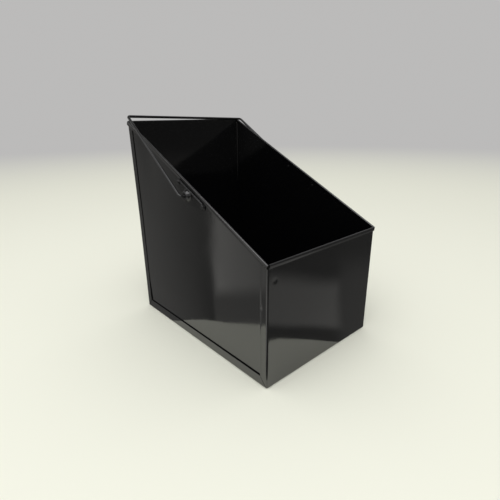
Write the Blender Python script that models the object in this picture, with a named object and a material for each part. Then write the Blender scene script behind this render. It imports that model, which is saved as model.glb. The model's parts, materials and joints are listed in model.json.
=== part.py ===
"""Open drop box of bent sheet metal: a slanted mouth, hemmed rims and a folding wire bail.

Metres, +Z up. The box stands on Z = 0, centred on X and Y, with its low front wall towards -Y.
"""
import bmesh
import bpy
from math import acos, asin, atan2, cos, pi, radians, sin, tan
from mathutils import Matrix, Vector

# Box
WIDTH = 0.220
DEPTH = 0.310
BACK_HEIGHT = 0.320
FRONT_HEIGHT = 0.170
SHEET = 0.0006
BEND_RADIUS = 0.0014
SEAT_GAP = 0.0003

# Hems, folded outward along the four top edges
HEM_HEIGHT = 0.006
HEM_FOLD_RADIUS = 0.0008
HEM_GAP = 0.0012

# Seam laps of the wrap sheet, folded round onto the side panels
FRONT_LAP = 0.012
BACK_LAP = 0.0125
FLOOR_LAP = 0.014
LAP_GAP = 0.0005

# Bail, bent from one wire
WIRE_RADIUS = 0.0020
PIVOT_DROP = 0.0181
ARM_STANDOFF = 0.0125
CROSSBAR_OVERHANG = 0.0043
CROSSBAR_SHIFT = 0.0007
CROSSBAR_BEND = 0.0040
PIVOT_BEND = 0.0045
BACK_CLEARANCE = 0.0017
BAIL_RACK = radians(1.3)
WIRE_HEAD_RADIUS = 0.0031
WIRE_HEAD_LENGTH = 0.0016
PIVOT_CLEARANCE = 0.0004

# Ears, stamped plates with a hollow boss
EAR_SHEET = 0.0010
EAR_BODY_RADIUS = 0.0115
EAR_END_RADIUS = 0.0050
EAR_SHIFT = 0.0057
BOSS_RADIUS = 0.0096
BOSS_TOP_RADIUS = 0.0048
BOSS_HEIGHT = 0.0066

# Rivets
RIVET_SPREAD = 0.030
RIVET_RADIUS = 0.0018
RIVET_HEAD_RADIUS = 0.0034
RIVET_HEAD_HEIGHT = 0.0017
RIVET_TAIL_RADIUS = 0.0028
RIVET_TAIL_HEIGHT = 0.0009
RIVET_CLEARANCE = 0.0003

# Facets of round forms
BEND_STEPS = 4
FOLD_STEPS = 8
EAR_SIDES = 40
BOSS_RINGS = 7
RIVET_SIDES = 20
DOME_STEPS = 5
WIRE_BEND_STEPS = 8
WIRE_BEVEL_RESOLUTION = 4
WELD_DISTANCE = 0.000001
SMOOTH_LIMIT = radians(35)

# Finishes: colour and roughness of the black stoved enamel on each kind of piece
SHEET_FINISH = ((0.012, 0.012, 0.013), 0.16)
EAR_FINISH = ((0.014, 0.014, 0.015), 0.24)
RIVET_FINISH = ((0.014, 0.014, 0.015), 0.28)
WIRE_FINISH = ((0.016, 0.015, 0.015), 0.26)

# Worked out from the sizes above
SLOPE = atan2(BACK_HEIGHT - FRONT_HEIGHT, DEPTH)
FOLD = HEM_FOLD_RADIUS + SHEET / 2
FOLD_DROP = FOLD + SHEET / 2
BEND = BEND_RADIUS - SHEET / 2
WALL_X = WIDTH / 2 - BEND_RADIUS
WALL_Y = DEPTH / 2 - BEND_RADIUS
PANEL_FACE = WIDTH / 2 - SHEET - SEAT_GAP
PANEL_MIDDLE = PANEL_FACE - SHEET / 2
RIM_X = PANEL_MIDDLE - SHEET / 2 - SEAT_GAP
RIM_FRONT = -WALL_Y - HEM_HEIGHT * sin(SLOPE)
RIM_BACK = DEPTH / 2


def rim_height(y):
    """Height of the side rims' top above a point on the depth axis."""
    return FRONT_HEIGHT + (y + DEPTH / 2) * tan(SLOPE)


def below_rim(y, drop):
    """Height of a line that runs under the side rims, at a distance square to the slope."""
    return rim_height(y) - drop / cos(SLOPE)


PIVOT = Vector((0, 0, below_rim(0, PIVOT_DROP)))


def clear_scene():
    for old in list(bpy.data.objects):
        bpy.data.objects.remove(old, do_unlink=True)


def enamel(name, finish):
    """Black stoved enamel over steel."""
    colour, roughness = finish
    material = bpy.data.materials.new(name)
    material.use_nodes = True
    shader = material.node_tree.nodes["Principled BSDF"]
    shader.inputs["Base Color"].default_value = (*colour, 1)
    shader.inputs["Roughness"].default_value = roughness
    shader.inputs["Metallic"].default_value = 0
    return material


def add_object(name, data, material, matrix=None):
    piece = bpy.data.objects.new(name, data)
    bpy.context.scene.collection.objects.link(piece)
    if not data.materials:
        data.materials.append(material)
    if matrix is not None:
        piece.matrix_world = matrix
    return piece


def grid(rows):
    """Quads between neighbouring rows of points."""
    quads = []
    for low, high in zip(rows, rows[1:]):
        for i in range(len(low) - 1):
            quads.append((low[i], low[i + 1], high[i + 1], high[i]))
    return quads


def sheet_mesh(name, quads, smooth=False):
    """One surface welded from quads: the middle of a sheet's thickness."""
    bm = bmesh.new()
    for quad in quads:
        bm.faces.new([bm.verts.new(point) for point in quad])
    bmesh.ops.remove_doubles(bm, verts=bm.verts, dist=WELD_DISTANCE)
    bmesh.ops.recalc_face_normals(bm, faces=bm.faces)
    for face in bm.faces:
        face.smooth = smooth
    for edge in bm.edges:
        edge.smooth = not edge.is_boundary
    mesh = bpy.data.meshes.new(name)
    bm.to_mesh(mesh)
    bm.free()
    return mesh


def thicken(piece, thickness):
    solid = piece.modifiers.new("Thickness", "SOLIDIFY")
    solid.thickness = thickness
    solid.offset = 0
    solid.use_even_offset = True


def cut(piece, cutter):
    hole = piece.modifiers.new("Hole", "BOOLEAN")
    hole.operation = "DIFFERENCE"
    hole.solver = "EXACT"
    hole.object = cutter


def revolved_mesh(name, profile, sides):
    """Solid turned about local Z from (radius, height) points that start and end on the axis."""
    bm = bmesh.new()
    points = [bm.verts.new((radius, 0, height)) for radius, height in profile]
    for a, b in zip(points, points[1:]):
        bm.edges.new((a, b))
    bmesh.ops.spin(
        bm, geom=bm.verts[:] + bm.edges[:], cent=(0, 0, 0), axis=(0, 0, 1),
        angle=2 * pi, steps=sides, use_merge=True,
    )
    bmesh.ops.remove_doubles(bm, verts=bm.verts, dist=WELD_DISTANCE)
    bmesh.ops.recalc_face_normals(bm, faces=bm.faces)
    mesh = bpy.data.meshes.new(name)
    bm.to_mesh(mesh)
    bm.free()
    mesh.shade_smooth()
    mesh.set_sharp_from_angle(angle=SMOOTH_LIMIT)
    return mesh


def hem_profile():
    """Open fold as (outward, above the fold's centre), from the wall to the leaf's free edge."""
    edge = Vector((SHEET + HEM_GAP, FOLD_DROP - HEM_HEIGHT))
    to_edge = edge - Vector((FOLD, 0))
    tangent = atan2(to_edge.y, to_edge.x) + acos(FOLD / to_edge.length)
    points = []
    for step in range(FOLD_STEPS + 1):
        angle = pi + (tangent - pi) * step / FOLD_STEPS
        points.append((FOLD + FOLD * cos(angle), FOLD * sin(angle)))
    return points + [tuple(edge)]


def under_hem(y):
    """Top of a seam lap, just below the side panel's hem."""
    return below_rim(y, HEM_HEIGHT + SEAT_GAP)


def mitre(depth, lap, crossing_lap):
    """How far a lap stops short of the corner, at a depth from its own wall."""
    share = max(depth - BEND_RADIUS, 0) / (lap - BEND_RADIUS)
    return BEND_RADIUS + LAP_GAP + share * (crossing_lap - BEND_RADIUS)


def lap_columns(lap):
    """Places across a lap as (X, depth from its wall's outer face): round the bend, then flat."""
    columns = []
    for step in range(BEND_STEPS + 1):
        angle = pi / 2 * step / BEND_STEPS
        columns.append((WALL_X + BEND * sin(angle), BEND_RADIUS - BEND * cos(angle)))
    return columns + [(WIDTH / 2 - SHEET / 2, lap)]


def wall_lap(side, facing, lap):
    """Seam lap of the front wall (facing -1) or back wall (facing 1) on one side."""
    rows = []
    for x, depth in lap_columns(lap):
        y = facing * (DEPTH / 2 - depth)
        rows.append([(side * x, y, mitre(depth, lap, FLOOR_LAP)), (side * x, y, under_hem(y))])
    return grid(rows)


def floor_lap(side):
    """Seam lap of the floor on one side."""
    rows = []
    for x, depth in lap_columns(FLOOR_LAP):
        front = -DEPTH / 2 + mitre(depth, FLOOR_LAP, FRONT_LAP)
        back = DEPTH / 2 - mitre(depth, FLOOR_LAP, BACK_LAP)
        rows.append([(side * x, front, depth), (side * x, back, depth)])
    return grid(rows)


def floor_bend(facing):
    """Section of the bend from a wall into the floor, from the wall down."""
    points = []
    for step in range(BEND_STEPS + 1):
        angle = pi / 2 * step / BEND_STEPS
        points.append((facing * (WALL_Y + BEND * cos(angle)), BEND_RADIUS - BEND * sin(angle)))
    return points


def wall_section(facing, height):
    """Section of a wall above its bend, from the fold of the hem down."""
    y = facing * (DEPTH / 2 - SHEET / 2)
    return [(y, height - FOLD_DROP), (y, under_hem(y)), (y, BEND_RADIUS + LAP_GAP)]


def wrap_section():
    """Section of the wrap sheet from the front wall's hem, under the floor, to the back wall's hem."""
    floor_ends = [
        (-DEPTH / 2 + BEND_RADIUS + LAP_GAP, SHEET / 2),
        (DEPTH / 2 - BEND_RADIUS - LAP_GAP, SHEET / 2),
    ]
    front = wall_section(-1, FRONT_HEIGHT) + floor_bend(-1)
    back = wall_section(1, BACK_HEIGHT) + floor_bend(1)
    return front + floor_ends + back[::-1]


def wall_hem(facing, height):
    """Hem of the front or back wall, which ends between the side panels' rims."""
    y = facing * (DEPTH / 2 - SHEET / 2)
    rows = []
    for out, up in hem_profile():
        rows.append([(x, y + facing * out, height - FOLD_DROP + up) for x in (-RIM_X, RIM_X)])
    return grid(rows)


def build_wrap_sheet(material):
    """Front wall, floor and back wall in one sheet, with seam laps and hems."""
    section = wrap_section()
    across = (-WALL_X, -RIM_X, RIM_X, WALL_X)
    quads = grid([[(x, y, z) for x in across] for y, z in section[1:-1]])
    for rim in (section[:2], section[-2:]):
        quads += grid([[(x, y, z) for x in (-RIM_X, RIM_X)] for y, z in rim])
    quads += wall_hem(-1, FRONT_HEIGHT)
    quads += wall_hem(1, BACK_HEIGHT)
    for side in (-1, 1):
        quads += wall_lap(side, -1, FRONT_LAP)
        quads += wall_lap(side, 1, BACK_LAP)
        quads += floor_lap(side)
    wrap = add_object("wrap_sheet", sheet_mesh("wrap_sheet", quads), material)
    thicken(wrap, SHEET)


def rim_row(x, drop):
    """Points along a side rim; its ends run on past the walls and are cut square to the slope."""
    along = (RIM_FRONT + drop * sin(SLOPE), -WALL_Y, WALL_Y, RIM_BACK + drop * sin(SLOPE))
    return [(x, y, below_rim(y, drop)) for y in along]


def build_side_panel(name, side, holes, material):
    """Sloped side sheet inside the seam laps, with its rim folded outward."""
    x = side * PANEL_MIDDLE
    rim_rows = [rim_row(x, HEM_HEIGHT)]
    rim_rows += [rim_row(x + side * out, FOLD_DROP - up) for out, up in hem_profile()]
    foot = [(x, y, BEND_RADIUS) for y in (-WALL_Y, WALL_Y)]
    quads = grid([foot, rim_rows[0][1:3]]) + grid(rim_rows)
    panel = add_object(name, sheet_mesh(name, quads), material)
    thicken(panel, SHEET)
    for hole in holes:
        cut(panel, hole)


def side_frame(side):
    """Frame on a side panel's outer face at the pivot: Z outward, Y square to the rim."""
    outward = Vector((side, 0, 0))
    up = Vector((0, -sin(SLOPE), cos(SLOPE)))
    along = up.cross(outward)
    turn = Matrix((along, up, outward)).transposed().to_4x4()
    return Matrix.Translation((side * PANEL_FACE, PIVOT.y, PIVOT.z)) @ turn


def rivet_places(side):
    """Rivets in an ear's frame, level with the top edge of its body and set forward of the pivot."""
    rise = EAR_BODY_RADIUS - EAR_END_RADIUS
    return [Vector((end * RIVET_SPREAD - side * EAR_SHIFT, rise, 0)) for end in (-1, 1)]


def ear_outline(angle, side):
    """Point of the ear's outline that reaches furthest in a direction: three discs drawn round."""
    direction = Vector((cos(angle), sin(angle), 0))
    discs = [(Vector((0, 0, 0)), EAR_BODY_RADIUS)]
    discs += [(place, EAR_END_RADIUS) for place in rivet_places(side)]
    centre, radius = max(discs, key=lambda disc: disc[0].dot(direction) + disc[1])
    return centre + radius * direction


def ear_mesh(name, side):
    """Middle surface of the ear: flat plate, boss drawn up in an S curve, hole for the wire."""
    plate = SEAT_GAP + EAR_SHEET / 2
    top = BOSS_HEIGHT - EAR_SHEET / 2
    angles = [2 * pi * i / EAR_SIDES for i in range(EAR_SIDES + 1)]
    outline = [ear_outline(angle, side) for angle in angles]
    rows = [[(point.x, point.y, plate) for point in outline]]
    for ring in range(BOSS_RINGS + 1):
        share = ring / BOSS_RINGS
        radius = BOSS_RADIUS + (BOSS_TOP_RADIUS - BOSS_RADIUS) * share
        height = plate + (top - plate) * (1 - cos(pi * share)) / 2
        rows.append([(radius * cos(a), radius * sin(a), height) for a in angles])
    hole = WIRE_RADIUS + PIVOT_CLEARANCE
    rows.append([(hole * cos(a), hole * sin(a), top) for a in angles])
    return sheet_mesh(name, grid(rows), smooth=True)


def rivet_mesh():
    """Domed rivet about local Z: head on the ear, tail spread on the panel's inner face."""
    seat = SEAT_GAP + EAR_SHEET + SEAT_GAP
    inside = -SHEET - SEAT_GAP
    profile = [(0, inside - RIVET_TAIL_HEIGHT), (RIVET_TAIL_RADIUS, inside - RIVET_TAIL_HEIGHT)]
    profile += [(RIVET_TAIL_RADIUS, inside), (RIVET_RADIUS, inside), (RIVET_RADIUS, seat)]
    for step in range(DOME_STEPS + 1):
        angle = pi / 2 * step / DOME_STEPS
        profile.append((RIVET_HEAD_RADIUS * cos(angle), seat + RIVET_HEAD_HEIGHT * sin(angle)))
    return revolved_mesh("rivet", profile, RIVET_SIDES)


def hole_cutter(name, matrix):
    """Round cutter for a rivet's hole through the ear and the side panel."""
    reach = SHEET + 2 * SEAT_GAP + EAR_SHEET
    radius = RIVET_RADIUS + RIVET_CLEARANCE
    profile = [(0, -reach), (radius, -reach), (radius, reach), (0, reach)]
    cutter = bpy.data.objects.new(name, revolved_mesh(name, profile, RIVET_SIDES))
    bpy.context.scene.collection.objects.link(cutter)
    cutter.matrix_world = matrix
    cutter.hide_render = True
    cutter.display_type = "WIRE"
    return cutter


def rounded_path(corners):
    """Points along straight runs joined by arcs; each corner is (point, bend radius)."""
    path = [corners[0][0]]
    for (before, _), (corner, radius), (after, _) in zip(corners, corners[1:], corners[2:]):
        to_before = (before - corner).normalized()
        to_after = (after - corner).normalized()
        half = to_before.angle(to_after) / 2
        centre = corner + (to_before + to_after).normalized() * radius / sin(half)
        start = corner + to_before * radius / tan(half) - centre
        axis = start.cross(corner - centre).normalized()
        sweep = pi - 2 * half
        for step in range(WIRE_BEND_STEPS + 1):
            path.append(centre + Matrix.Rotation(sweep * step / WIRE_BEND_STEPS, 3, axis) @ start)
    return path + [corners[-1][0]]


def bail_arm_length():
    """Arm that swings the crossbar past the front rim and stops short of the back rim's fold."""
    fold_axis = Vector((DEPTH / 2 - SHEET / 2 + FOLD, BACK_HEIGHT - FOLD_DROP)) - PIVOT.yz
    return fold_axis.length - FOLD_DROP - BACK_CLEARANCE - WIRE_RADIUS


def bail_lean(side):
    """Angle of an arm at rest: the racked wire lies on the right rim and stands off the left one."""
    rest = SLOPE + asin((PIVOT_DROP + SEAT_GAP + WIRE_RADIUS) / bail_arm_length())
    return rest + (1 - side) * BAIL_RACK


def build_bail(material):
    """Wire bail about its hinge axis: ends turned in through the bosses and upset to a head."""
    length = bail_arm_length()
    head_face = PANEL_FACE + BOSS_HEIGHT - EAR_SHEET - PIVOT_CLEARANCE
    arm_x = PANEL_FACE + ARM_STANDOFF
    corners = []
    for side in (-1, 1):
        lean = bail_lean(side)
        corner_x = side * (WIDTH / 2 + CROSSBAR_OVERHANG) - CROSSBAR_SHIFT
        crossbar_end = Vector((corner_x, length * cos(lean), length * sin(lean)))
        arm = [
            (Vector((side * head_face, 0, 0)), 0),
            (Vector((side * arm_x, 0, 0)), PIVOT_BEND),
            (crossbar_end, CROSSBAR_BEND),
        ]
        corners += arm if side < 0 else arm[::-1]
    path = [(point, 1) for point in rounded_path(corners)]
    head = WIRE_HEAD_RADIUS / WIRE_RADIUS
    step_in = Vector((SEAT_GAP, 0, 0))
    head_end = Vector((WIRE_HEAD_LENGTH, 0, 0))
    left, right = path[0][0], path[-1][0]
    path = [(left + head_end, head), (left + step_in, head)] + path
    path += [(right - step_in, head), (right - head_end, head)]
    curve = bpy.data.curves.new("bail_handle", "CURVE")
    curve.dimensions = "3D"
    curve.bevel_depth = WIRE_RADIUS
    curve.bevel_resolution = WIRE_BEVEL_RESOLUTION
    curve.use_fill_caps = True
    spline = curve.splines.new("POLY")
    spline.points.add(len(path) - 1)
    for target, (point, scale) in zip(spline.points, path):
        target.co = (*point, 1)
        target.radius = scale
    add_object("bail_handle", curve, material, Matrix.Translation(PIVOT))


def main():
    clear_scene()
    sheet_enamel = enamel("sheet_enamel", SHEET_FINISH)
    ear_enamel = enamel("ear_enamel", EAR_FINISH)
    rivet_enamel = enamel("rivet_enamel", RIVET_FINISH)
    wire_enamel = enamel("wire_enamel", WIRE_FINISH)
    build_wrap_sheet(sheet_enamel)
    rivet = rivet_mesh()
    for side, side_name in ((-1, "left"), (1, "right")):
        frame = side_frame(side)
        rivet_frames = [frame @ Matrix.Translation(place) for place in rivet_places(side)]
        rivet_frames.sort(key=lambda matrix: matrix.translation.y)
        holes = []
        for matrix, end_name in zip(rivet_frames, ("front", "rear")):
            name = f"{side_name}_{end_name}_rivet"
            add_object(name, rivet, rivet_enamel, matrix)
            holes.append(hole_cutter(f"{name}_hole", matrix))
        build_side_panel(f"{side_name}_side_panel", side, holes, sheet_enamel)
        ear_name = f"{side_name}_bail_ear"
        ear = add_object(ear_name, ear_mesh(ear_name, side), ear_enamel, frame)
        thicken(ear, EAR_SHEET)
        for hole in holes:
            cut(ear, hole)
    build_bail(wire_enamel)


main()
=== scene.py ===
"""Looks of the open drop box: glossy black stoved enamel on bent sheet metal, in a plain pale studio.

Metres, in the frame of the solids: +Z up, the low front wall towards -Y.
"""

import json
from math import asin, atan2, cos, exp, pi, radians, sin, tan

import bmesh
import bpy
from mathutils import Matrix, Vector, noise


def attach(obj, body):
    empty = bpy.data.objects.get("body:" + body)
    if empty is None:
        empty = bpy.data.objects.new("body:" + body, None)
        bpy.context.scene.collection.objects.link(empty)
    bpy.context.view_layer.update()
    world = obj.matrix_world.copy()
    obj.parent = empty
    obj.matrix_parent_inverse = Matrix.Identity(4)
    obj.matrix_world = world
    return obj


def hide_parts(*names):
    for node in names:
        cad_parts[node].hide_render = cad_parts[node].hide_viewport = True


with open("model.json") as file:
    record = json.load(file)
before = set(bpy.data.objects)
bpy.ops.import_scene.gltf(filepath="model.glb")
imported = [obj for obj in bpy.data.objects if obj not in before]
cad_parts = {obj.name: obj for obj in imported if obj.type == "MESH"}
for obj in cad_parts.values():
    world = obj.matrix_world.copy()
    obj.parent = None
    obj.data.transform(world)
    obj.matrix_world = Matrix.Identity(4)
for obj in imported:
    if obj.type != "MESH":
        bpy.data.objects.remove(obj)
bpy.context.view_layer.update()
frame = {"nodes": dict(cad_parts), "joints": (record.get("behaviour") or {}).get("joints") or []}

# Sheet, folds and laps, as the solids have them
SHEET = 0.0006
SEAT_GAP = 0.0003
HEM_HEIGHT = 0.006
HEM_FOLD_RADIUS = 0.0008
FRONT_LAP = 0.012
BACK_LAP = 0.0125
FLOOR_LAP = 0.014
LAP_GAP = 0.0005

# Softer folds than the solids have: wider bends, hem leaves that curl in, rim ends, rolled ear edges
BEND_RADIUS = 0.0024
HEM_GAP = 0.0006
HEM_CURL = radians(60)
RIM_SLIT = 0.0001
RIM_INSET = 0.0014
RIM_TRIM = 0.0018
EAR_ROLL = 0.0014
EAR_ROLL_TURN = radians(165)

# Bail, ears and rivets, as the solids have them
WIRE_RADIUS = 0.0020
PIVOT_DROP = 0.0181
ARM_STANDOFF = 0.0125
CROSSBAR_OVERHANG = 0.0043
CROSSBAR_SHIFT = 0.0007
CROSSBAR_BEND = 0.0040
PIVOT_BEND = 0.0045
BACK_CLEARANCE = 0.0017
BAIL_RACK = radians(1.3)
WIRE_HEAD_RADIUS = 0.0031
WIRE_HEAD_LENGTH = 0.0016
PIVOT_CLEARANCE = 0.0004
EAR_SHEET = 0.0010
EAR_BODY_RADIUS = 0.0115
EAR_END_RADIUS = 0.0050
EAR_SHIFT = 0.0057
BOSS_RADIUS = 0.0096
BOSS_TOP_RADIUS = 0.0048
BOSS_HEIGHT = 0.0066
RIVET_SPREAD = 0.030
RIVET_RADIUS = 0.0018
RIVET_HEAD_RADIUS = 0.0034
RIVET_HEAD_HEIGHT = 0.0017
RIVET_TAIL_RADIUS = 0.0028
RIVET_TAIL_HEIGHT = 0.0009

# Box, read from the frame
WRAP_POINTS = [v.co for v in frame["nodes"]["wrap_sheet"].data.vertices]
WIDTH = 2 * max(point.x for point in WRAP_POINTS)
BACK_HEIGHT = max(point.z for point in WRAP_POINTS)
FRONT_HEIGHT = max(point.z for point in WRAP_POINTS if point.y < 0)
DEPTH = 2 * max(point.y for point in WRAP_POINTS if point.z < FRONT_HEIGHT)
PIVOT = Vector(frame["joints"][0]["pos_m"])

# Worked out from the sizes above
SLOPE = atan2(BACK_HEIGHT - FRONT_HEIGHT, DEPTH)
FOLD = HEM_FOLD_RADIUS + SHEET / 2
FOLD_DROP = FOLD + SHEET / 2
BEND = BEND_RADIUS - SHEET / 2
WALL_X = WIDTH / 2 - BEND_RADIUS
WALL_Y = DEPTH / 2 - BEND_RADIUS
PANEL_FACE = WIDTH / 2 - SHEET - SEAT_GAP
PANEL_MIDDLE = PANEL_FACE - SHEET / 2
HEM_END = PANEL_MIDDLE - SHEET / 2 - SEAT_GAP
RIM_FRONT = RIM_INSET - DEPTH / 2 - HEM_HEIGHT * sin(SLOPE)
RIM_BACK = DEPTH / 2

# Facets of the fine meshes
BEND_STEPS = 8
FOLD_STEPS = 14
LEAF_STEPS = 8
WALL_COLUMNS = 120
WALL_ROWS = 96
PANEL_COLUMNS = 64
PANEL_ROWS = 44
LAP_COLUMNS = 12
EAR_SIDES = 96
BOSS_RINGS = 14
ROLL_STEPS = 10
RIVET_SIDES = 40
DOME_STEPS = 10
WIRE_BEND_STEPS = 14
WIRE_BEVEL_RESOLUTION = 10
EDGE_ROUNDING = 0.00012
EAR_EDGE_ROUNDING = 0.00045
EDGE_SEGMENTS = 3
WELD_DISTANCE = 0.000001
SMOOTH_LIMIT = radians(35)

# Unevenness of the thin sheets: outward swell of a wall, ripples, and the marks of handling
FRONT_SWELL = 0.0010
BACK_SWELL = 0.0008
SIDE_SWELL = 0.0004
RIPPLE = 0.00022
RIPPLE_COUNT = 3
FRONT_SEED, BACK_SEED, SIDE_SEED = 1.0, 2.0, 4.0
EAR_ZONE = 0.034
FRONT_DENT = Vector((-0.0975, 0.1465))
FRONT_DENT_DEPTH = 0.00040
FRONT_DENT_RADIUS = 0.0026
LAP_WELD = Vector((-0.1435, 0.1116))
LAP_WELD_HEIGHT = 0.00045
LAP_WELD_RADIUS = 0.0030
LAP_LIFT = 0.00035
LAP_LIFT_WIDTH = 0.0045
FLOOR_DISH = 0.0008
FLOOR_DISH_HEIGHT = 0.045
LAP_FLARE = 0.0020
LAP_FLARE_START = 0.17
LAP_FLARE_REACH = 0.060
EDGE_WEAR_WIDTH = 0.0016

# Enamel: roughness, strength of the orange peel and refraction of each kind of piece
SHEET_FINISH = (0.085, 0.35, 1.95)
EAR_FINISH = (0.16, 0.5, 1.70)
RIVET_FINISH = (0.18, 0.5, 1.60)
WIRE_FINISH = (0.16, 0.5, 1.70)

# Enamel: what all pieces share
BLACK = (0.0022, 0.0023, 0.0026)
RUBBED_GREY = (0.035, 0.034, 0.033)
RUB_SCALE = 160
RUB_RANGE = (0.46, 0.66)
RUB_SHARE = 0.6
SPECK_SCALE = 1500
SPECK_RANGE = (0.74, 0.80)
SPECK_SHARE = 0.5
HAZE_SCALE = 16
HAZE_ROUGHNESS = 0.62
HAZE_RANGE = (0.3, 0.7)
HAZE_SPREAD = (0.75, 1.35)
MARK_ROUGHNESS = 0.22
DIMPLE_SCALE = 55
DIMPLE_STRENGTH = 0.25
DIMPLE_DEPTH = 0.00020
PEEL_SCALE = 520
PEEL_DEPTH = 0.00006

# Camera of the photograph
EYE = Vector((-0.3826, -0.4324, 0.3275))
AZIMUTH = radians(-41.664)
ELEVATION = radians(19.781)
ROLL = radians(-0.613)
LENS_MM = 27.151

# Studio
FLOOR_RADIUS = 9.0
FLOOR_SIDES = 128
FLOOR_COLOUR = (0.85, 0.86, 0.755)
FLOOR_FADE = (1.2, 4.0)
WORLD_LIGHT = 0.79
BACKDROP_COLOUR = (1.0, 0.99, 0.98)
BACKDROP_TONE = 0.50
DIM_TONE = 0.20
LEFT_TONE = 0.8
TOP_FADE = (0.85, 0.50)
REAR_FADE = (-0.20, 0.30)
LEFT_FADE = (-0.30, -0.60)
SOFTBOX_PLACE = Vector((-0.55, -0.35, 1.5))
SOFTBOX_SIZE = 1.3
SOFTBOX_POWER = 10.0

# Glowing card of painted reflection that only reflections see, its opening round the box, axes facing
# the camera
OPENING_LEFT = -0.133
OPENING_RIGHT = 0.137
OPENING_FRONT = -0.204
OPENING_BACK = 0.204
OPENING_CORNER = 0.03
CARD_HEIGHT = 0.0004
CARD_RADIUS = 60.0
CARD_BRIM = 3.0
CARD_COLOUR = (1.0, 0.985, 0.94)
CARD_SHADE = 0.085
CARD_SEAM = 0.02
CARD_SIDES = 96

# Painted light and shade in the card's glow: a fan on the left, patches on the right, behind and in
# front
FAN_CENTRE = (0.409, -0.215)
FAN_ANGLES = (radians(4), radians(24))
FAN_STOPS = ((0.0, 0.32), (0.25, 0.40), (0.41, 0.50), (0.45, 0.09), (0.60, 0.14), (1.0, 0.23))
FAN_NEAR = (0.63, 0.71)
FAN_FAR = (1.10, 1.70)
FAN_DIM = 0.11
RIGHT_GLOW = 0.19
RIGHT_GLOW_U = (0.160, 0.190, 0.32, 0.43)
RIGHT_GLOW_V = (-0.235, -0.205, -0.078, -0.054)
RIGHT_GLOW_SLANT = 0.108
REAR_GLOW = 0.06
REAR_GLOW_U = (0.60, 0.35)
REAR_GLOW_V = (-0.08, -0.05)
FRONT_GLOW = 0.45
FRONT_GLOW_U = (-0.30, -0.20, -0.05, 0.0)
FRONT_GLOW_V = (-1.2, -0.8, -0.24, -0.18)
FAR_RIGHT = (1.0, 3.0)
FAR_RIGHT_DIM = 0.05


def rim_height(y):
    """Height of the side rims' top above a point on the depth axis."""
    return FRONT_HEIGHT + (y + DEPTH / 2) * tan(SLOPE)


def below_rim(y, drop):
    """Height of a line that runs under the side rims, at a distance square to the slope."""
    return rim_height(y) - drop / cos(SLOPE)


def under_hem(y):
    """Top of a seam lap, just below the side panel's hem."""
    return below_rim(y, HEM_HEIGHT + RIM_SLIT)


def spread(start, end, count):
    """Evenly spaced values from start to end, both included."""
    return [start + (end - start) * i / count for i in range(count + 1)]


def grid(rows):
    """Quads between neighbouring rows of points."""
    quads = []
    for low, high in zip(rows, rows[1:]):
        for i in range(len(low) - 1):
            quads.append((low[i], low[i + 1], high[i + 1], high[i]))
    return quads


def edge_lines():
    """The box's twelve edges, where the finish wears first."""
    x, y = WIDTH / 2, DEPTH / 2
    heights = {-1: FRONT_HEIGHT, 1: BACK_HEIGHT}
    lines = []
    for facing, height in heights.items():
        for z in (0, height):
            lines.append((Vector((-x, facing * y, z)), Vector((x, facing * y, z))))
    for side in (-x, x):
        lines.append((Vector((side, -y, 0)), Vector((side, y, 0))))
        lines.append((Vector((side, -y, FRONT_HEIGHT)), Vector((side, y, BACK_HEIGHT))))
        for facing, height in heights.items():
            lines.append((Vector((side, facing * y, 0)), Vector((side, facing * y, height))))
    return lines


EDGE_LINES = edge_lines()


def edge_nearness(point):
    """1 on an edge of the box, fading to 0 a little way off."""
    nearest = EDGE_WEAR_WIDTH
    for start, end in EDGE_LINES:
        run = end - start
        share = min(max((point - start).dot(run) / run.length_squared, 0), 1)
        nearest = min(nearest, (point - start - run * share).length)
    return 1 - nearest / EDGE_WEAR_WIDTH


def sheet_mesh(name, quads):
    """Smooth surface welded from quads, the middle of a sheet's thickness, with its wear stored."""
    bm = bmesh.new()
    for quad in quads:
        bm.faces.new([bm.verts.new(point) for point in quad])
    bmesh.ops.remove_doubles(bm, verts=bm.verts, dist=WELD_DISTANCE)
    bmesh.ops.recalc_face_normals(bm, faces=bm.faces)
    wear = bm.verts.layers.float.new("wear")
    for vertex in bm.verts:
        vertex[wear] = edge_nearness(vertex.co)
    for face in bm.faces:
        face.smooth = True
    mesh = bpy.data.meshes.new(name)
    bm.to_mesh(mesh)
    bm.free()
    return mesh


def revolved_mesh(name, profile, sides):
    """Solid turned about local Z from (radius, height) points that start and end on the axis."""
    bm = bmesh.new()
    points = [bm.verts.new((radius, 0, height)) for radius, height in profile]
    for a, b in zip(points, points[1:]):
        bm.edges.new((a, b))
    bmesh.ops.spin(
        bm, geom=bm.verts[:] + bm.edges[:], cent=(0, 0, 0), axis=(0, 0, 1),
        angle=2 * pi, steps=sides, use_merge=True,
    )
    bmesh.ops.remove_doubles(bm, verts=bm.verts, dist=WELD_DISTANCE)
    bmesh.ops.recalc_face_normals(bm, faces=bm.faces)
    mesh = bpy.data.meshes.new(name)
    bm.to_mesh(mesh)
    bm.free()
    mesh.shade_smooth()
    mesh.set_sharp_from_angle(angle=SMOOTH_LIMIT)
    return mesh


def thicken(piece, thickness, edge_rounding):
    """Gives a sheet its thickness and rounds its cut edges."""
    solid = piece.modifiers.new("Thickness", "SOLIDIFY")
    solid.thickness = thickness
    solid.offset = 0
    solid.use_even_offset = True
    rounding = piece.modifiers.new("Edges", "BEVEL")
    rounding.width = edge_rounding
    rounding.segments = EDGE_SEGMENTS
    rounding.limit_method = "ANGLE"
    rounding.angle_limit = SMOOTH_LIMIT
    piece.modifiers.new("Normals", "WEIGHTED_NORMAL")


def add_piece(node, data, material, body, matrix=None):
    """Puts a fine mesh or curve in the place of a solid."""
    piece = bpy.data.objects.new(f"{node}_enamelled", data)
    bpy.context.scene.collection.objects.link(piece)
    if not data.materials:
        data.materials.append(material)
    if matrix is not None:
        piece.matrix_world = matrix
    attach(piece, body)
    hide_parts(node)
    return piece


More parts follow.
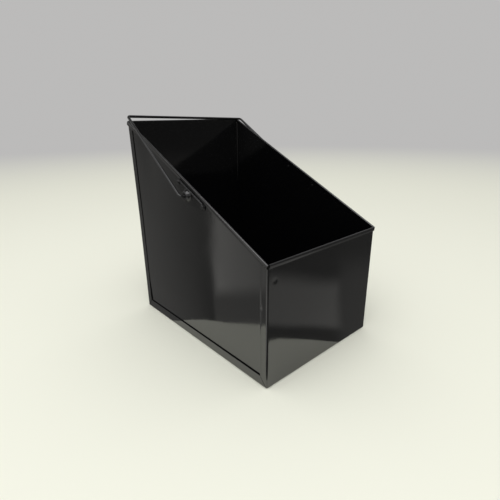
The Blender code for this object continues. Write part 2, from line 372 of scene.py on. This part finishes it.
def swell(across, up, height, seed):
    """Outward swell of a panel at shares of its width and height, flat and square at its borders."""
    window = (sin(pi * across) * sin(pi * up)) ** 2
    place = Vector((across * RIPPLE_COUNT, up * RIPPLE_COUNT, seed))
    ripple = noise.noise(place) * RIPPLE / height
    return height * window * (1 + ripple)


def hem_profile():
    """Open fold as (outward, above the fold's centre), from the wall to the leaf's free edge."""
    points = []
    for angle in spread(pi, 0, FOLD_STEPS):
        points.append((FOLD + FOLD * cos(angle), FOLD * sin(angle)))
    tuck = 2 * FOLD - SHEET - HEM_GAP
    for angle in spread(0, HEM_CURL, LEAF_STEPS)[1:]:
        out = 2 * FOLD - tuck * (1 - cos(angle)) / (1 - cos(HEM_CURL))
        points.append((out, (FOLD_DROP - HEM_HEIGHT) * sin(angle) / sin(HEM_CURL)))
    return points


def mitre(depth, lap, crossing_lap):
    """How far a lap stops short of the corner, at a depth from its own wall."""
    share = max(depth - BEND_RADIUS, 0) / (lap - BEND_RADIUS)
    return BEND_RADIUS + LAP_GAP + share * (crossing_lap - BEND_RADIUS)


def lap_columns(lap):
    """Places across a lap as (X, depth from its wall's outer face): round the bend, then flat."""
    columns = []
    for angle in spread(0, pi / 2, BEND_STEPS):
        columns.append((WALL_X + BEND * sin(angle), BEND_RADIUS - BEND * cos(angle)))
    flat = WIDTH / 2 - SHEET / 2
    return columns + [(flat, depth) for depth in spread(BEND_RADIUS, lap, LAP_COLUMNS)[1:]]


def ease(share):
    """Smooth rise from 0 to 1."""
    share = min(max(share, 0), 1)
    return share * share * (3 - 2 * share)


def flare(side, y, z):
    """How far the left rear corner springs outward towards its top."""
    up = max(z - LAP_FLARE_START, 0) / (BACK_HEIGHT - LAP_FLARE_START)
    return LAP_FLARE * up * ease(1 - (WALL_Y - y) / LAP_FLARE_REACH) if side < 0 else 0


def wall_lap(side, facing, lap):
    """Seam lap of the front wall (facing -1) or back wall (facing 1) on one side."""
    rows = []
    for x, depth in lap_columns(lap):
        y = facing * (DEPTH / 2 - depth)
        row = []
        for z in spread(mitre(depth, lap, FLOOR_LAP), under_hem(y), WALL_ROWS):
            off = (Vector((y, z)) - LAP_WELD).length / LAP_WELD_RADIUS
            out = LAP_WELD_HEIGHT * exp(-off * off)
            if facing > 0:
                out += flare(side, y, z) * (x - WALL_X) / BEND
            else:
                out += LAP_LIFT * max(1 - (lap - depth) / LAP_LIFT_WIDTH, 0) ** 2
            row.append((side * (x + out), y, z))
        rows.append(row)
    return grid(rows)


def floor_lap(side):
    """Seam lap of the floor on one side."""
    rows = []
    for x, depth in lap_columns(FLOOR_LAP):
        front = -DEPTH / 2 + mitre(depth, FLOOR_LAP, FRONT_LAP)
        back = DEPTH / 2 - mitre(depth, FLOOR_LAP, BACK_LAP)
        rows.append([(side * x, front, depth), (side * x, back, depth)])
    return grid(rows)


def corner_cap(side, facing):
    """Bottom corner that the enamel closes, where a wall, the floor and their laps meet."""
    rows = []
    for rise, drop in [(LAP_GAP, 0)] + [(0, angle) for angle in spread(0, pi / 2, BEND_STEPS)]:
        z = BEND_RADIUS + rise - BEND * sin(drop)
        row = []
        for angle in spread(0, pi / 2, BEND_STEPS):
            x = WALL_X + BEND * cos(drop) * sin(angle)
            row.append((side * x, facing * (WALL_Y + BEND * cos(drop) * cos(angle)), z))
        row.append((side * x, facing * (WALL_Y - LAP_GAP), z))
        rows.append(row)
    return grid(rows)


def floor_bend(facing):
    """Section of the bend from a wall into the floor, from the wall down."""
    points = []
    for angle in spread(0, pi / 2, BEND_STEPS):
        points.append((facing * (WALL_Y + BEND * cos(angle)), BEND_RADIUS - BEND * sin(angle)))
    return points


def wall_rows(facing, height, across, swelling, seed):
    """Rows of a wall from its hem's fold down to its bend, swelling outward between its borders."""
    y = facing * (DEPTH / 2 - SHEET / 2)
    foot = BEND_RADIUS + LAP_GAP
    heights = [height - FOLD_DROP] + spread(under_hem(y), foot, WALL_ROWS)
    rows = []
    for z in heights:
        row = []
        for x in across:
            share_x = (x + WALL_X) / (2 * WALL_X)
            share_z = (z - foot) / (height - FOLD_DROP - foot)
            out = swell(share_x, share_z, swelling, seed)
            if facing < 0:
                off = (Vector((x, z)) - FRONT_DENT).length / FRONT_DENT_RADIUS
                out -= FRONT_DENT_DEPTH * exp(-off * off)
            row.append((x, y + facing * out, z))
        rows.append(row)
    return rows


def wall_hem(facing, height, across):
    """Hem of the front or back wall, which ends just short of the side panels."""
    y = facing * (DEPTH / 2 - SHEET / 2)
    rows = []
    for out, up in hem_profile():
        rows.append([(x, y + facing * out, height - FOLD_DROP + up) for x in across])
    return grid(rows)


def build_wrap_sheet(material):
    """Front wall, floor and back wall in one sheet, with seam laps and hems."""
    across = spread(-WALL_X, WALL_X, WALL_COLUMNS)
    floor_end = DEPTH / 2 - BEND_RADIUS - LAP_GAP
    bends = {f: [[(x, y, z) for x in across] for y, z in floor_bend(f)] for f in (-1, 1)}
    floor = [[(x, y, SHEET / 2) for x in across] for y in (-floor_end, floor_end)]
    front = wall_rows(-1, FRONT_HEIGHT, across, FRONT_SWELL, FRONT_SEED)
    back = wall_rows(1, BACK_HEIGHT, across, BACK_SWELL, BACK_SEED)
    quads = grid(front[1:] + bends[-1] + floor + (back[1:] + bends[1])[::-1])
    for facing, height, rows in ((-1, FRONT_HEIGHT, front), (1, BACK_HEIGHT, back)):
        left = -HEM_END - (LAP_FLARE if facing > 0 else 0)
        quads += grid([[(left, *row[0][1:])] + row + [(HEM_END, *row[-1][1:])] for row in rows[:2]])
        quads += wall_hem(facing, height, [left] + across + [HEM_END])
    for side in (-1, 1):
        quads += wall_lap(side, -1, FRONT_LAP)
        quads += wall_lap(side, 1, BACK_LAP)
        quads += floor_lap(side)
        quads += corner_cap(side, -1) + corner_cap(side, 1)
    wrap = add_piece("wrap_sheet", sheet_mesh("wrap_sheet", quads), material, "box")
    thicken(wrap, SHEET, EDGE_ROUNDING)


def rim_row(side, out, drop):
    """Points along a side rim, run on past the walls and cut square; the left rear leaf is shorter."""
    shift = drop * sin(SLOPE)
    back = RIM_BACK + shift - (RIM_TRIM * out / (2 * FOLD) if side < 0 else 0)
    along = [RIM_FRONT + shift] + spread(-WALL_Y, WALL_Y, PANEL_COLUMNS) + [back]
    row = []
    for y in along:
        z = below_rim(y, drop)
        row.append((side * (PANEL_MIDDLE + out + flare(side, y, z)), y, z))
    return row


def build_side_panel(name, side, material):
    """Sloped side sheet inside the seam laps, with its rim folded outward."""
    x = side * PANEL_MIDDLE
    wall_along = spread(-WALL_Y, WALL_Y, PANEL_COLUMNS)
    rows = []
    for share in spread(0, 1, PANEL_ROWS):
        row = []
        for y in wall_along:
            z = BEND_RADIUS + (below_rim(y, HEM_HEIGHT) - BEND_RADIUS) * share
            share_y = (y + WALL_Y) / (2 * WALL_Y)
            share_z = min((z - BEND_RADIUS) / (below_rim(y, EAR_ZONE) - BEND_RADIUS), 1)
            out = swell(share_y, share_z, SIDE_SWELL, SIDE_SEED + side)
            out += flare(side, y, z)
            out -= FLOOR_DISH * ease(1 - (z - FLOOR_LAP) / FLOOR_DISH_HEIGHT)
            row.append((x + side * out, y, z))
        rows.append(row)
    rim_rows = [rim_row(side, 0, HEM_HEIGHT)]
    rim_rows += [rim_row(side, out, FOLD_DROP - up) for out, up in hem_profile()]
    quads = grid(rows) + grid(rim_rows)
    panel = add_piece(name, sheet_mesh(name, quads), material, "box")
    thicken(panel, SHEET, EDGE_ROUNDING)


def side_frame(side):
    """Frame on a side panel's outer face at the pivot: Z outward, Y square to the rim."""
    outward = Vector((side, 0, 0))
    up = Vector((0, -sin(SLOPE), cos(SLOPE)))
    along = up.cross(outward)
    turn = Matrix((along, up, outward)).transposed().to_4x4()
    return Matrix.Translation((side * PANEL_FACE, PIVOT.y, PIVOT.z)) @ turn


def rivet_places(side):
    """Rivets in an ear's frame, level with the top edge of its body and set forward of the pivot."""
    rise = EAR_BODY_RADIUS - EAR_END_RADIUS
    return [Vector((end * RIVET_SPREAD - side * EAR_SHIFT, rise, 0)) for end in (-1, 1)]


def ear_outline(angle, side):
    """Point of the ear's outline that reaches furthest in a direction: three discs drawn round."""
    direction = Vector((cos(angle), sin(angle), 0))
    discs = [(Vector((0, 0, 0)), EAR_BODY_RADIUS)]
    discs += [(place, EAR_END_RADIUS) for place in rivet_places(side)]
    centre, radius = max(discs, key=lambda disc: disc[0].dot(direction) + disc[1])
    return centre + radius * direction


def ear_mesh(name, side):
    """Middle surface of the ear: flat plate, boss drawn up in an S curve, hole for the wire."""
    plate = SEAT_GAP + EAR_SHEET / 2
    top = BOSS_HEIGHT - EAR_SHEET / 2
    angles = spread(0, 2 * pi, EAR_SIDES)
    outline = [ear_outline(angle, side) for angle in angles]
    rows = [[(point.x, point.y, plate) for point in outline]]
    for share in spread(0, 1, BOSS_RINGS):
        radius = BOSS_RADIUS + (BOSS_TOP_RADIUS - BOSS_RADIUS) * share
        height = plate + (top - plate) * (1 - cos(pi * share)) / 2
        rows.append([(radius * cos(a), radius * sin(a), height) for a in angles])
    hole = WIRE_RADIUS + PIVOT_CLEARANCE
    rows.append([(hole * cos(a), hole * sin(a), top) for a in angles])
    ends = [place.x for place in rivet_places(side)]
    roll = []
    for angle in spread(0, EAR_ROLL_TURN, ROLL_STEPS):
        y = EAR_BODY_RADIUS - EAR_ROLL + EAR_ROLL * sin(angle)
        z = plate + EAR_ROLL * (1 - cos(angle))
        roll.append([(x, y, z) for x in spread(*ends, ROLL_STEPS)])
    return sheet_mesh(name, grid(rows) + grid(roll))


def rivet_mesh():
    """Domed rivet about local Z: head on the ear, tail spread on the panel's inner face."""
    seat = SEAT_GAP + EAR_SHEET + SEAT_GAP
    inside = -SHEET - SEAT_GAP
    profile = [(0, inside - RIVET_TAIL_HEIGHT), (RIVET_TAIL_RADIUS, inside - RIVET_TAIL_HEIGHT)]
    profile += [(RIVET_TAIL_RADIUS, inside), (RIVET_RADIUS, inside), (RIVET_RADIUS, seat)]
    for angle in spread(0, pi / 2, DOME_STEPS):
        profile.append((RIVET_HEAD_RADIUS * cos(angle), seat + RIVET_HEAD_HEIGHT * sin(angle)))
    return revolved_mesh("rivet", profile, RIVET_SIDES)


def rounded_path(corners):
    """Points along straight runs joined by arcs; each corner is (point, bend radius)."""
    path = [corners[0][0]]
    for (before, _), (corner, radius), (after, _) in zip(corners, corners[1:], corners[2:]):
        to_before = (before - corner).normalized()
        to_after = (after - corner).normalized()
        half = to_before.angle(to_after) / 2
        centre = corner + (to_before + to_after).normalized() * radius / sin(half)
        start = corner + to_before * radius / tan(half) - centre
        axis = start.cross(corner - centre).normalized()
        for angle in spread(0, pi - 2 * half, WIRE_BEND_STEPS):
            path.append(centre + Matrix.Rotation(angle, 3, axis) @ start)
    return path + [corners[-1][0]]


def bail_arm_length():
    """Arm that swings the crossbar past the front rim and stops short of the back rim's fold."""
    fold_axis = Vector((DEPTH / 2 - SHEET / 2 + FOLD, BACK_HEIGHT - FOLD_DROP)) - PIVOT.yz
    return fold_axis.length - FOLD_DROP - BACK_CLEARANCE - WIRE_RADIUS


def bail_lean(side):
    """Angle of an arm at rest: the racked wire lies on the right rim and stands off the left one."""
    rest = SLOPE + asin((PIVOT_DROP + SEAT_GAP + WIRE_RADIUS) / bail_arm_length())
    return rest + (1 - side) * BAIL_RACK


def build_bail(material):
    """Wire bail about its hinge axis: ends turned in through the bosses and upset to a head."""
    length = bail_arm_length()
    head_face = PANEL_FACE + BOSS_HEIGHT - EAR_SHEET - PIVOT_CLEARANCE
    arm_x = PANEL_FACE + ARM_STANDOFF
    corners = []
    for side in (-1, 1):
        lean = bail_lean(side)
        corner_x = side * (WIDTH / 2 + CROSSBAR_OVERHANG) - CROSSBAR_SHIFT
        crossbar_end = Vector((corner_x, length * cos(lean), length * sin(lean)))
        arm = [
            (Vector((side * head_face, 0, 0)), 0),
            (Vector((side * arm_x, 0, 0)), PIVOT_BEND),
            (crossbar_end, CROSSBAR_BEND),
        ]
        corners += arm if side < 0 else arm[::-1]
    path = [(point, 1) for point in rounded_path(corners)]
    head = WIRE_HEAD_RADIUS / WIRE_RADIUS
    step_in = Vector((SEAT_GAP, 0, 0))
    head_end = Vector((WIRE_HEAD_LENGTH, 0, 0))
    left, right = path[0][0], path[-1][0]
    path = [(left + head_end, head), (left + step_in, head)] + path
    path += [(right - step_in, head), (right - head_end, head)]
    curve = bpy.data.curves.new("bail_handle", "CURVE")
    curve.dimensions = "3D"
    curve.bevel_depth = WIRE_RADIUS
    curve.bevel_resolution = WIRE_BEVEL_RESOLUTION
    curve.use_fill_caps = True
    spline = curve.splines.new("POLY")
    spline.points.add(len(path) - 1)
    for target, (point, scale) in zip(spline.points, path):
        target.co = (*point, 1)
        target.radius = scale
    add_piece("bail_handle", curve, material, "bail", Matrix.Translation(PIVOT))


class Nodes:
    """Short hand for building a material's node tree."""

    def __init__(self, tree):
        self.tree = tree

    def add(self, kind, inputs=None, **settings):
        node = self.tree.nodes.new(kind)
        for name, value in settings.items():
            setattr(node, name, value)
        for name, value in (inputs or {}).items():
            self.feed(node.inputs[name], value)
        return node

    def feed(self, socket, value):
        if isinstance(value, bpy.types.NodeSocket):
            self.tree.links.new(value, socket)
        else:
            socket.default_value = value

    def noise(self, place, scale, detail=2.0, roughness=0.5):
        inputs = {"Vector": place, "Scale": scale, "Detail": detail, "Roughness": roughness}
        return self.add("ShaderNodeTexNoise", inputs).outputs["Fac"]

    def smooth(self, value, low, high):
        """Smooth rise from 0 at one value to 1 at the other."""
        inputs = {"Value": value, "From Min": low, "From Max": high}
        return self.add("ShaderNodeMapRange", inputs, interpolation_type="SMOOTHSTEP").outputs["Result"]

    def band(self, value, limits):
        """1 between the middle limits, easing to 0 at the outer ones."""
        rise = self.smooth(value, limits[0], limits[1])
        fall = self.smooth(value, limits[3], limits[2])
        return self.math("MULTIPLY", rise, fall)

    def remap(self, value, low, high, to_low, to_high):
        inputs = {"Value": value, "From Min": low, "From Max": high, "To Min": to_low, "To Max": to_high}
        return self.add("ShaderNodeMapRange", inputs).outputs["Result"]

    def math(self, operation, a, b=0.0):
        node = self.add("ShaderNodeMath", operation=operation)
        self.feed(node.inputs[0], a)
        self.feed(node.inputs[1], b)
        return node.outputs["Value"]

    def bump(self, height, strength, distance, normal=None):
        inputs = {"Height": height, "Strength": strength, "Distance": distance}
        if normal is not None:
            inputs["Normal"] = normal
        return self.add("ShaderNodeBump", inputs).outputs["Normal"]


def new_material(name):
    """An empty material and its nodes."""
    material = bpy.data.materials.new(name)
    material.use_nodes = True
    material.node_tree.nodes.clear()
    return material, Nodes(material.node_tree)


def enamel(name, finish):
    """Black stoved enamel: orange peel, soft haze, specks of dust and edges rubbed a little grey."""
    roughness, peel, ior = finish
    material, nodes = new_material(name)
    place = nodes.add("ShaderNodeTexCoord").outputs["Object"]
    wear = nodes.add("ShaderNodeAttribute", attribute_name="wear").outputs["Fac"]
    patches = nodes.remap(nodes.noise(place, RUB_SCALE, detail=4), *RUB_RANGE, 0, 1)
    rubbed = nodes.math("MULTIPLY", nodes.math("MULTIPLY", wear, patches), RUB_SHARE)
    specks = nodes.remap(nodes.noise(place, SPECK_SCALE, detail=1), *SPECK_RANGE, 0, SPECK_SHARE)
    marks = nodes.math("MAXIMUM", rubbed, specks)
    cloud = nodes.noise(place, HAZE_SCALE, detail=6, roughness=HAZE_ROUGHNESS)
    haze = nodes.remap(cloud, *HAZE_RANGE, *(roughness * share for share in HAZE_SPREAD))
    rough = nodes.math("ADD", haze, nodes.math("MULTIPLY", marks, MARK_ROUGHNESS))
    colour = nodes.add("ShaderNodeMix", data_type="RGBA")
    nodes.feed(colour.inputs["Factor"], marks)
    nodes.feed(colour.inputs["A"], (*BLACK, 1))
    nodes.feed(colour.inputs["B"], (*RUBBED_GREY, 1))
    dimple = nodes.bump(nodes.noise(place, DIMPLE_SCALE), DIMPLE_STRENGTH, DIMPLE_DEPTH)
    orange_peel = nodes.bump(nodes.noise(place, PEEL_SCALE), peel, PEEL_DEPTH, dimple)
    shader = nodes.add("ShaderNodeBsdfPrincipled", {
        "Base Color": colour.outputs["Result"], "Roughness": rough, "IOR": ior, "Normal": orange_peel,
    })
    output = nodes.add("ShaderNodeOutputMaterial")
    nodes.feed(output.inputs["Surface"], shader.outputs["BSDF"])
    return material


def build_object():
    """All pieces of the box, with one enamel for each kind."""
    sheet = enamel("sheet_enamel", SHEET_FINISH)
    ear = enamel("ear_enamel", EAR_FINISH)
    rivet = enamel("rivet_enamel", RIVET_FINISH)
    wire = enamel("wire_enamel", WIRE_FINISH)
    build_wrap_sheet(sheet)
    rivet_shape = rivet_mesh()
    for side, side_name in ((-1, "left"), (1, "right")):
        place = side_frame(side)
        build_side_panel(f"{side_name}_side_panel", side, sheet)
        ear_name = f"{side_name}_bail_ear"
        ear_piece = add_piece(ear_name, ear_mesh(ear_name, side), ear, "box", place)
        thicken(ear_piece, EAR_SHEET, EAR_EDGE_ROUNDING)
        rivets = [place @ Matrix.Translation(offset) for offset in rivet_places(side)]
        rivets.sort(key=lambda matrix: matrix.translation.y)
        for matrix, end_name in zip(rivets, ("front", "rear")):
            add_piece(f"{side_name}_{end_name}_rivet", rivet_shape, rivet, "box", matrix)
    build_bail(wire)


def add_stage(name, mesh, material):
    """A piece of the studio, which isn't part of the object."""
    piece = bpy.data.objects.new(name, mesh)
    bpy.context.scene.collection.objects.link(piece)
    mesh.materials.append(material)
    return piece


def floor_material():
    """Plain pale floor that fades into the grey surroundings far from the box."""
    material, nodes = new_material("floor")
    place = nodes.add("ShaderNodeTexCoord").outputs["Object"]
    distance = nodes.add("ShaderNodeVectorMath", {0: place}, operation="LENGTH").outputs["Value"]
    fade = nodes.smooth(distance, *FLOOR_FADE)
    pale = nodes.add("ShaderNodeBsdfDiffuse", {"Color": (*FLOOR_COLOUR, 1)})
    tone = nodes.add("ShaderNodeEmission", {"Color": (*BACKDROP_COLOUR, 1), "Strength": BACKDROP_TONE})
    blend = nodes.add("ShaderNodeMixShader", {"Fac": fade})
    nodes.feed(blend.inputs[1], pale.outputs["BSDF"])
    nodes.feed(blend.inputs[2], tone.outputs["Emission"])
    output = nodes.add("ShaderNodeOutputMaterial")
    nodes.feed(output.inputs["Surface"], blend.outputs["Shader"])
    return material


def build_floor():
    """Round floor under the box."""
    bm = bmesh.new()
    bmesh.ops.create_circle(bm, cap_ends=True, radius=FLOOR_RADIUS, segments=FLOOR_SIDES)
    mesh = bpy.data.meshes.new("floor")
    bm.to_mesh(mesh)
    bm.free()
    add_stage("floor", mesh, floor_material())


def left_shade(nodes, u, v):
    """Fan of soft light and shade on the left, opening from a point in front on the right."""
    away = nodes.math("SUBTRACT", FAN_CENTRE[0], u)
    across = nodes.math("SUBTRACT", v, FAN_CENTRE[1])
    angle = nodes.math("ARCTAN2", across, away)
    share = nodes.remap(angle, *FAN_ANGLES, 0, 1)
    ramp = nodes.add("ShaderNodeValToRGB", {"Fac": share})
    stops = ramp.color_ramp.elements
    for _ in FAN_STOPS[2:]:
        stops.new(0.5)
    for stop, (place, level) in zip(stops, FAN_STOPS):
        stop.position = place
        stop.color = (level, level, level, 1)
    squares = [nodes.math("MULTIPLY", length, length) for length in (away, across)]
    distance = nodes.math("SQRT", nodes.math("ADD", *squares))
    reach = nodes.band(distance, (*FAN_NEAR, *FAN_FAR))
    lit = nodes.math("MAXIMUM", nodes.math("SUBTRACT", ramp.outputs["Color"], CARD_SHADE), 0.0)
    dim = nodes.math("MINIMUM", lit, FAN_DIM)
    return nodes.math("ADD", dim, nodes.math("MULTIPLY", nodes.math("SUBTRACT", lit, dim), reach))


def right_shade(nodes, u, v):
    """Soft light on the right, dimmer towards the rear."""
    across = nodes.math("SUBTRACT", u, RIGHT_GLOW_U[2])
    slanted = nodes.math("SUBTRACT", v, nodes.math("MULTIPLY", across, RIGHT_GLOW_SLANT))
    patch = nodes.math("MULTIPLY", nodes.band(u, RIGHT_GLOW_U), nodes.band(slanted, RIGHT_GLOW_V))
    bright = nodes.math("MULTIPLY", patch, RIGHT_GLOW)
    near = nodes.math("MULTIPLY", nodes.smooth(u, *REAR_GLOW_U), REAR_GLOW)
    rear = nodes.math("MULTIPLY", nodes.smooth(slanted, *REAR_GLOW_V), near)
    on_right = nodes.smooth(u, 0, CARD_SEAM)
    return nodes.math("MULTIPLY", nodes.math("ADD", bright, rear), on_right)


def front_shade(nodes, u, v):
    """Soft light in front, towards the camera."""
    patch = nodes.math("MULTIPLY", nodes.band(u, FRONT_GLOW_U), nodes.band(v, FRONT_GLOW_V))
    return nodes.math("MULTIPLY", patch, FRONT_GLOW)


def card_material():
    """Glowing card with soft light and shade painted into its emission, which only reflections see."""
    material, nodes = new_material("painted_reflection_card")
    place = nodes.add("ShaderNodeTexCoord").outputs["Object"]
    axes = nodes.add("ShaderNodeSeparateXYZ", {"Vector": place}).outputs
    on_left = nodes.smooth(axes["X"], 0, -CARD_SEAM)
    left = nodes.math("MULTIPLY", left_shade(nodes, axes["X"], axes["Y"]), on_left)
    glow = nodes.math("ADD", left, right_shade(nodes, axes["X"], axes["Y"]))
    glow = nodes.math("ADD", glow, front_shade(nodes, axes["X"], axes["Y"]))
    dim = nodes.math("MULTIPLY", nodes.smooth(axes["X"], *FAR_RIGHT), FAR_RIGHT_DIM)
    shade = nodes.math("SUBTRACT", nodes.math("ADD", glow, CARD_SHADE), dim)
    # Painted reflection: the card glows with this painted light and shade rather than being lit
    emission = nodes.add("ShaderNodeEmission", {"Color": (*CARD_COLOUR, 1), "Strength": shade})
    output = nodes.add("ShaderNodeOutputMaterial")
    nodes.feed(output.inputs["Surface"], emission.outputs["Emission"])
    return material


def ring_angles():
    """Directions of the card's points, which miss the axes."""
    return [2 * pi * (i + 0.5) / CARD_SIDES for i in range(CARD_SIDES)]


def opening_outline():
    """Rounded rectangle of pale floor that the card leaves open, in axes that face the camera."""
    points = []
    edges_u = {-1: OPENING_LEFT + OPENING_CORNER, 1: OPENING_RIGHT - OPENING_CORNER}
    edges_v = {-1: OPENING_FRONT + OPENING_CORNER, 1: OPENING_BACK - OPENING_CORNER}
    for angle in ring_angles():
        u = edges_u[1 if cos(angle) > 0 else -1] + OPENING_CORNER * cos(angle)
        v = edges_v[1 if sin(angle) > 0 else -1] + OPENING_CORNER * sin(angle)
        points.append((u, v, 0))
    return points


def build_reflection_card():
    """Card laid round the box, hidden from the camera, glowing with painted light and shade, that keeps
    the upper reflections dark.
    """
    inner = opening_outline()
    outer = [(CARD_RADIUS * cos(angle), CARD_RADIUS * sin(angle), 0) for angle in ring_angles()]
    brim = [(x, y, CARD_BRIM) for x, y, _ in outer]
    rows = [ring + ring[:1] for ring in (inner, outer, brim)]
    mesh = bpy.data.meshes.new("painted_reflection_card")
    bm = bmesh.new()
    for quad in grid(rows):
        bm.faces.new([bm.verts.new(point) for point in quad])
    bmesh.ops.remove_doubles(bm, verts=bm.verts, dist=WELD_DISTANCE)
    bm.to_mesh(mesh)
    bm.free()
    card = add_stage("painted_reflection_card", mesh, card_material())
    card.matrix_world = Matrix.Translation((0, 0, CARD_HEIGHT)) @ Matrix.Rotation(AZIMUTH, 4, "Z")
    card.visible_camera = False
    card.visible_diffuse = False
    card.visible_shadow = False
    card.visible_transmission = False


def build_light():
    """Grey surroundings, paler behind and on the left, and one large softbox above."""
    world = bpy.data.worlds.new("studio")
    world.use_nodes = True
    bpy.context.scene.world = world
    nodes = Nodes(world.node_tree)
    background = world.node_tree.nodes["Background"]
    path = nodes.add("ShaderNodeLightPath").outputs
    seen = nodes.math("MAXIMUM", path["Is Camera Ray"], path["Is Glossy Ray"])
    seen = nodes.math("MAXIMUM", seen, path["Is Transmission Ray"])
    direction = nodes.add("ShaderNodeTexCoord").outputs["Generated"]
    axes = nodes.add("ShaderNodeSeparateXYZ", {"Vector": direction}).outputs
    low = nodes.smooth(axes["Z"], *TOP_FADE)
    rear = nodes.math("MULTIPLY", nodes.smooth(axes["Y"], *REAR_FADE), BACKDROP_TONE - DIM_TONE)
    left = nodes.math("MULTIPLY", nodes.smooth(axes["X"], *LEFT_FADE), LEFT_TONE - BACKDROP_TONE)
    lit = nodes.math("MULTIPLY", nodes.math("ADD", rear, left), low)
    tone = nodes.math("ADD", lit, DIM_TONE)
    strength = nodes.remap(seen, 0, 1, WORLD_LIGHT, tone)
    nodes.feed(background.inputs["Color"], (*BACKDROP_COLOUR, 1))
    nodes.feed(background.inputs["Strength"], strength)
    lamp = bpy.data.lights.new("softbox", "AREA")
    lamp.size = SOFTBOX_SIZE
    lamp.energy = SOFTBOX_POWER
    softbox = bpy.data.objects.new("softbox", lamp)
    bpy.context.scene.collection.objects.link(softbox)
    softbox.location = SOFTBOX_PLACE
    softbox.rotation_euler = (-SOFTBOX_PLACE).to_track_quat("-Z", "Y").to_euler()


def build_camera():
    """Camera at the photograph's place and angle."""
    back = Vector((
        sin(AZIMUTH) * cos(ELEVATION), -cos(AZIMUTH) * cos(ELEVATION), sin(ELEVATION),
    ))
    right = Vector((0, 0, 1)).cross(back).normalized()
    up = back.cross(right)
    axes = Matrix((right, up, back)).transposed() @ Matrix.Rotation(ROLL, 3, "Z")
    data = bpy.data.cameras.new("camera")
    data.lens = LENS_MM
    camera = bpy.data.objects.new("camera", data)
    bpy.context.scene.collection.objects.link(camera)
    camera.matrix_world = Matrix.Translation(EYE) @ axes.to_4x4()
    bpy.context.scene.camera = camera


bpy.context.scene.view_settings.view_transform = "Standard"
build_object()
build_floor()
build_reflection_card()
build_light()
build_camera()
